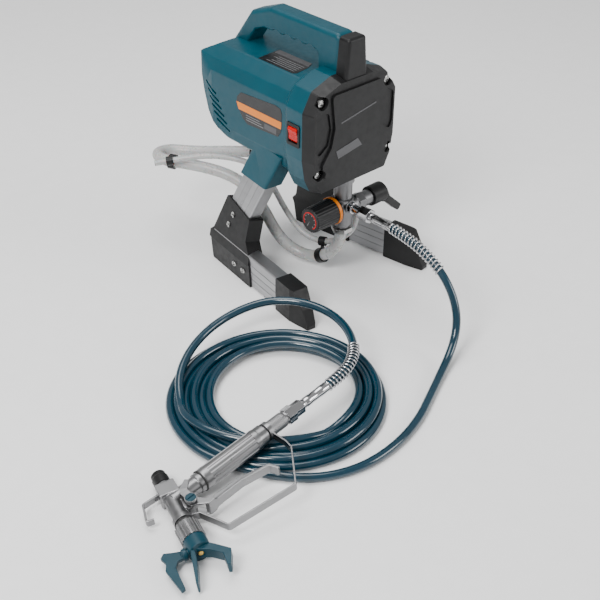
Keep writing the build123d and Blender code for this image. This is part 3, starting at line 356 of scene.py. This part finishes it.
def spring_guard(name, line, length):
    """A wire spring wound round the start of a line."""
    travelled, here, coils = 0.0, 0, []
    side = Vector((0, 0, 1))
    step = SPRING_PITCH * MM / SPRING_STEPS
    for count in range(int(length / SPRING_PITCH * SPRING_STEPS) + 1):
        target = count * step
        while here < len(line) - 2 and travelled + (line[here + 1] - line[here]).length < target:
            travelled += (line[here + 1] - line[here]).length
            here += 1
        along = (line[here + 1] - line[here]).normalized()
        side = (side - along * side.dot(along)).normalized()
        middle = line[here] + along * (target - travelled)
        angle = tau * count / SPRING_STEPS
        coils.append(middle + (side * cos(angle) + along.cross(side) * sin(angle)) * SPRING_R * MM)
    spring = nurbs(name, coils, WIRE_D)
    spring.data.resolution_u = 3
    spring.data.bevel_resolution = 3
    return place(spring, "root", "chrome_metal")


hose_line = centreline(hose)
lead_spring = spring_guard("pump_end_spring", hose_line, 92)
tail_spring = spring_guard("gun_end_spring", hose_line[::-1], 88)
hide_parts("hose_springs")
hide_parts("hose_springs")


# ================================================================ the gun's frames
# The handle runs along GUN's x and the barrel along BARREL's x, both from the point where they meet.
GUN_X = Vector((0.9915, 0.0251, 0.1276)).normalized()
GUN_Z = Vector((-0.1285, 0.0391, 0.9909))
GUN_Z = (GUN_Z - GUN_X * GUN_Z.dot(GUN_X)).normalized()
GUN_ORIGIN = Vector((-467.1, -294.8, 13.8))
GUN = local_frame(GUN_ORIGIN, GUN_X, GUN_Z.cross(GUN_X))
BARREL_TURN = radians(251.8)
BARREL_DIR = GUN_X * cos(BARREL_TURN) + GUN_Z.cross(GUN_X) * sin(BARREL_TURN)
BARREL = local_frame(GUN_ORIGIN, BARREL_DIR, GUN_Z.cross(BARREL_DIR))


# ================================================================ hose and tube fittings
def crimp(along, angle):
    """Pressed flats near both ends of a ferrule."""
    return -0.35 * max(0.0, cos(8 * angle)) if along in (6, 12, 28, 34) else 0.0


FERRULE = [
    (0, 5.4), (0.4, 6.2), (3, 6.3), (4, 5.7), (5, 5.7), (6, 6.3), (12, 6.3), (13, 6), (27, 6), (28, 6.3),
    (34, 6.3), (35.5, 5.9), (38, 6.3), (39.5, 6.1), (40, 5.4),
]
GUN_FERRULE_START, GUN_FERRULE_STRETCH = 200, 1.1
pump_ferrule = lathe("pump_end_ferrule", local_frame((0, -138, 129.5), (0, -1, 0), (1, 0, 0)), FERRULE,
                     "root", "chrome_metal", ripple=crimp, segments=96)
gun_ferrule = lathe("gun_end_ferrule", local_frame(GUN_ORIGIN + GUN_X * GUN_FERRULE_START, GUN_X, GUN_Z),
                    [(along * GUN_FERRULE_STRETCH, r) for along, r in FERRULE], "root", "chrome_metal")
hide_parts("hose_ferrules")
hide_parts("hose_ferrules")


def slots_round(along, angle):
    """Long slots in the strainer's wall."""
    return -1.6 if 13 < along < 30 and cos(16 * angle) > 0.2 else 0.0


strainer_end = Vector(SUCTION_ROUTE[-1])
strainer_along = strainer_end - Vector(SUCTION_ROUTE[-2])
STRAINER = [
    (0.1, 9), (1, 10), (8, 10), (9.5, 13), (12, 14), (13.5, 14), (17, 14), (21, 14), (25, 14), (29, 14),
    (30.5, 14), (32, 13.6), (33, 12),
]
strainer = lathe("strainer", local_frame(strainer_end, strainer_along, (0, 0, 1)), STRAINER,
                 "root", "black_plastic", ripple=slots_round, segments=128)
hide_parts("suction_strainer")


# ================================================================ knob dial
KNOB_FACE = local_frame((-62.25, -84, 124), (0, -1, 0), (0, 0, 1))


def dial_arc(name, inner, outer, start, end, look):
    """A flat printed arc on the knob's face."""
    steps = 40
    angles = [radians(start + (end - start) * i / steps) for i in range(steps + 1)]
    rim = [(outer * cos(a), outer * sin(a)) for a in angles]
    rim += [(inner * cos(a), inner * sin(a)) for a in reversed(angles)]
    plate(name, KNOB_FACE, rim, -0.1, 0.25, "pressure_dial", "orange_plastic", look, bevel=0.04)


dial_arc("dial_scale", 11.2, 12.6, -60, 215, FINISHES["red_plastic"])
for tick in range(7):
    turn = -52 + tick * 40
    dial_arc(f"dial_tick_{tick}", 8.6, 10.2, turn - 4, turn + 4, LABEL_MARK)
dial_arc("dial_pointer", 1.5, 10.2, 240, 247, LABEL_MARK)


# ================================================================ labels
SIDE = local_frame((HOUSING_SIDE_X, 0, 0), (0, -1, 0), (0, 0, 1))
SIDE_PLATE = [
    (-54, 264), (-46, 272), (24, 277), (34, 275), (37, 268), (35, 242), (29, 233), (-33, 229), (-43, 235),
    (-56, 253),
]
plate("side_label", SIDE, SIDE_PLATE, -0.3, 0.4, "root", "black_plastic", LABEL_BLACK)
plate("side_label_band", SIDE, [(-55.4, 256.5), (36, 256.5), (35.3, 246), (-51, 246)], 0.3, 0.65,
      "root", "orange_plastic")
for line in range(3):
    low = 241.5 - 3.4 * line
    plate(f"side_label_line_{line}", SIDE, bar(-36, -8 + 4 * line, low, low + 1.1), 0.3, 0.5, "root",
          "black_plastic", LABEL_MARK, bevel=0.05)
plate("side_label_field", SIDE, bar(2, 26, 235, 243), 0.3, 0.5, "root", "black_plastic", LABEL_GREY,
      bevel=0.05)

TOP = local_frame((0, 0, HOUSING_TOP_Z), (1, 0, 0), (0, 1, 0))
plate("top_label", TOP, [(-44, 41), (-3, 44), (-3, -22), (-17, -28), (-40, -31), (-44, -27)], -0.3, 0.4,
      "root", "black_plastic", LABEL_BLACK)
plate("top_label_header", TOP, [(-14.5, 41), (-3.6, 42), (-3.6, -21), (-14.5, -26)], 0.3, 0.6,
      "root", "black_plastic", LABEL_GREY)
for line in range(5):
    left = -39 + line * 4.6
    plate(f"top_label_line_{line}", TOP, bar(left, left + 1.1, -24, 30 - 5 * (line % 3)), 0.3, 0.5,
          "root", "black_plastic", LABEL_MARK, bevel=0.05)

FRONT = local_frame((0, PANEL_Y, 0), (1, 0, 0), (0, 0, 1))
plate("front_badge", FRONT, [(-38, 229), (2, 236), (10, 224), (-34, 217)], -0.3, 0.6, "root", "black_plastic",
      LABEL_GREY)
plate("front_badge_rim", FRONT, [(-30, 268), (34, 279), (34.6, 277), (-29.4, 266)], -0.3, 0.35, "root",
      "black_plastic", LABEL_GREY)


# ================================================================ screws
def islands(mesh):
    """The separate solids of a mesh, as lists of points."""
    owner = {}
    keys = [tuple(round(c * 1e5) for c in v.co) for v in mesh.vertices]

    def root(key):
        while owner.setdefault(key, key) != key:
            key = owner[key]
        return key

    for edge in mesh.edges:
        a, b = (root(keys[i]) for i in edge.vertices)
        owner[a] = b
    groups = {}
    for key, vertex in zip(keys, mesh.vertices):
        groups.setdefault(root(key), []).append(vertex.co.copy())
    return list(groups.values())


def head_of(points):
    """Centre of a screw's head, the way it faces, and its radius."""
    first = points[0]
    far = max(points, key=lambda p: (p - first).length)
    other = max(points, key=lambda p: (p - far).length)
    rough = (far - other).normalized()
    ends = []
    for sign in (1, -1):
        top = max(sign * p.dot(rough) for p in points)
        cap = [p for p in points if sign * p.dot(rough) > top - 0.0009]
        middle = sum(cap, Vector()) / len(cap)
        ends.append((max((p - middle).length for p in cap), middle, sign))
    radius, middle, sign = max(ends, key=lambda e: e[0])
    inner = min(ends, key=lambda e: e[0])[1]
    return middle, (middle - inner).normalized(), radius


def screw_heads():
    """A domed head on every screw, with a flat black cross on it as painted shade of the driver recess."""
    for number, points in enumerate(islands(frame["nodes"]["screws"].data)):
        middle, outward, radius = head_of(points)
        side = Vector((0, 0, 1)) if abs(outward.z) < 0.8 else Vector((0, 1, 0))
        at = local_frame(middle / MM, outward, side)
        r = radius / MM
        dome = [(-0.6, r * 1.02), (0.1, r * 1.02), (0.6, r * 0.86), (0.85, r * 0.6), (0.95, r * 0.2)]
        lathe(f"screw_head_{number:02d}", at, dome, "root", "screw_steel", segments=40)
        face = local_frame(middle / MM + outward * 0.9, outward.cross(side), side)
        arm, half = r * 0.62, r * 0.13
        cross = [(half, half), (half, arm), (-half, arm), (-half, half), (-arm, half), (-arm, -half),
                 (-half, -half), (-half, -arm), (half, -arm), (half, -half), (arm, -half), (arm, half)]
        # The recess is not cut into the head: this flat black cross is painted shade standing in for the
        # hollow.
        plate(f"screw_recess_shade_{number:02d}", face, cross, -0.16, 0.16, "root", "rubber_seal", bevel=0.03)


screw_heads()


# ================================================================ spray gun trim
def knurl(along, angle):
    """Crossed ridges on the swivel's grip."""
    if not 141 < along < 170:
        return 0.0
    twist = along * 0.42
    return 0.45 * max(abs(cos(14 * angle + twist)), abs(cos(14 * angle - twist))) - 0.45


SWIVEL = [(137.5, 11), (139, 11), (140.6, 9.6)] + [(141.2 + 0.8 * i, 9.5) for i in range(36)]
SWIVEL += [(170.4, 8.6), (172, 8.6), (173.4, 9.3), (173.6, 8.8)]
swivel = lathe("swivel", GUN, SWIVEL, "root", "gun_aluminium", ripple=knurl, segments=168, sharp=60)
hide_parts("gun_swivel")

lathe("gun_seam_ring", GUN, [(40.4, 12.2), (40.6, 13.1), (42.2, 13.1), (42.4, 12.2)], "root", "rubber_seal")
lathe("cap_end", BARREL, [(-47.1, 6.4), (-47.1, 8.2), (-47.9, 8.0), (-48.3, 7.2), (-48.3, 0.4)], "root",
      "gun_aluminium")
lathe("barrel_seal", BARREL, [(36, 9.5), (36.2, 10.3), (41, 10.3), (41.4, 9.5)], "root", "rubber_seal")
lathe("orifice", BARREL, [(80, 2.8), (83.2, 3.1), (84.4, 3.1), (84.8, 2.2), (84.8, 1)], "guard",
      "brass_metal", segments=48)
pivot = local_frame(GUN_ORIGIN + GUN_X * 10 - GUN_Z.cross(GUN_X) * 23 + GUN_Z * 14, GUN_Z, GUN_X)
lathe("pivot_collar", pivot, [(-0.3, 6.3), (-0.3, 7.2), (1.4, 7.2), (1.8, 6.9), (1.8, 6.3), (-0.3, 6.3)],
      "root", "gun_aluminium")


# ================================================================ CAD nodes
# Voxel size of the castings' skin and edge radius of the moulded pieces, in millimetres.
CAST = {"pump_manifold": 0.55, "gun_body": 0.45, "prime_lever": 0.6, "gun_hook": 0.4, "prime_valve": 0.6,
        "gun_trigger": 0.4, "tip_guard": 0.4, "spray_tip": 0.35}
SOFT_EDGE = {"housing_left": 0.5, "housing_right": 0.5, "front_cover": 0.6, "elbow_bracket_left": 0.7,
             "elbow_bracket_right": 0.7, "foot_cap_left": 0.8, "foot_cap_right": 0.8}
MACHINED_EDGE = 0.25


def soften(node, name):
    """Castings get rounded inner and outer corners, and other pieces a small edge radius."""
    weld = node.modifiers.new("weld", "WELD")
    weld.merge_threshold = 1e-6
    if name in CAST:
        remesh = node.modifiers.new("cast skin", "REMESH")
        remesh.mode = "VOXEL"
        remesh.voxel_size = CAST[name] * MM
        remesh.use_smooth_shade = True
        smooth = node.modifiers.new("cast corners", "SMOOTH")
        smooth.factor = 0.5
        smooth.iterations = 4
    else:
        rounding = node.modifiers.new("edge rounding", "BEVEL")
        rounding.width = SOFT_EDGE.get(name, MACHINED_EDGE) * MM
        rounding.segments = 2
        rounding.limit_method = "ANGLE"
        rounding.angle_limit = radians(40)
        normals = node.modifiers.new("flat faces", "WEIGHTED_NORMAL")
        normals.keep_sharp = False
        normals.weight = 80


for part in frame["record"]["subparts"]:
    node = frame["nodes"][part["node"]]
    node.data.materials.clear()
    node.data.materials.append(FINISHES[part["material_slot"]])
    if not node.hide_render:
        node.data.polygons.foreach_set("use_smooth", [True] * len(node.data.polygons))
        soften(node, part["node"])


# ================================================================ floor and light
def make_floor():
    """A wide pale floor."""
    half = 6.0
    corners = [(-half, -half, 0), (half, -half, 0), (half, half, 0), (-half, half, 0)]
    mesh = bpy.data.meshes.new("floor")
    mesh.from_pydata(corners, [], [(0, 1, 2, 3)])
    floor = bpy.data.objects.new("floor", mesh)
    mesh.materials.append(finish("floor", (0.93, 0.93, 0.93), 0.7, tone=0.01, depth=0.01))
    bpy.context.scene.collection.objects.link(floor)


def area_light(name, location, target, size, power):
    """A soft square light aimed at a point."""
    data = bpy.data.lights.new(name, "AREA")
    data.shape = "SQUARE"
    data.size = size
    data.energy = power
    light = bpy.data.objects.new(name, data)
    light.location = location
    light.rotation_euler = (Vector(target) - Vector(location)).to_track_quat("-Z", "Y").to_euler()
    bpy.context.scene.collection.objects.link(light)


make_floor()
area_light("key", (-1.7, -0.5, 1.7), (-0.15, -0.1, 0.15), 0.8, 42)
area_light("fill", (1.1, -1.9, 1.0), (-0.15, -0.15, 0.15), 0.9, 20)
area_light("top", (-0.2, 0.5, 2.4), (-0.15, -0.1, 0.1), 1.6, 44)
world = bpy.data.worlds.new("studio")
world.use_nodes = True
world.node_tree.nodes["Background"].inputs["Color"].default_value = (1, 1, 1, 1)
world.node_tree.nodes["Background"].inputs["Strength"].default_value = 0.5
bpy.context.scene.world = world
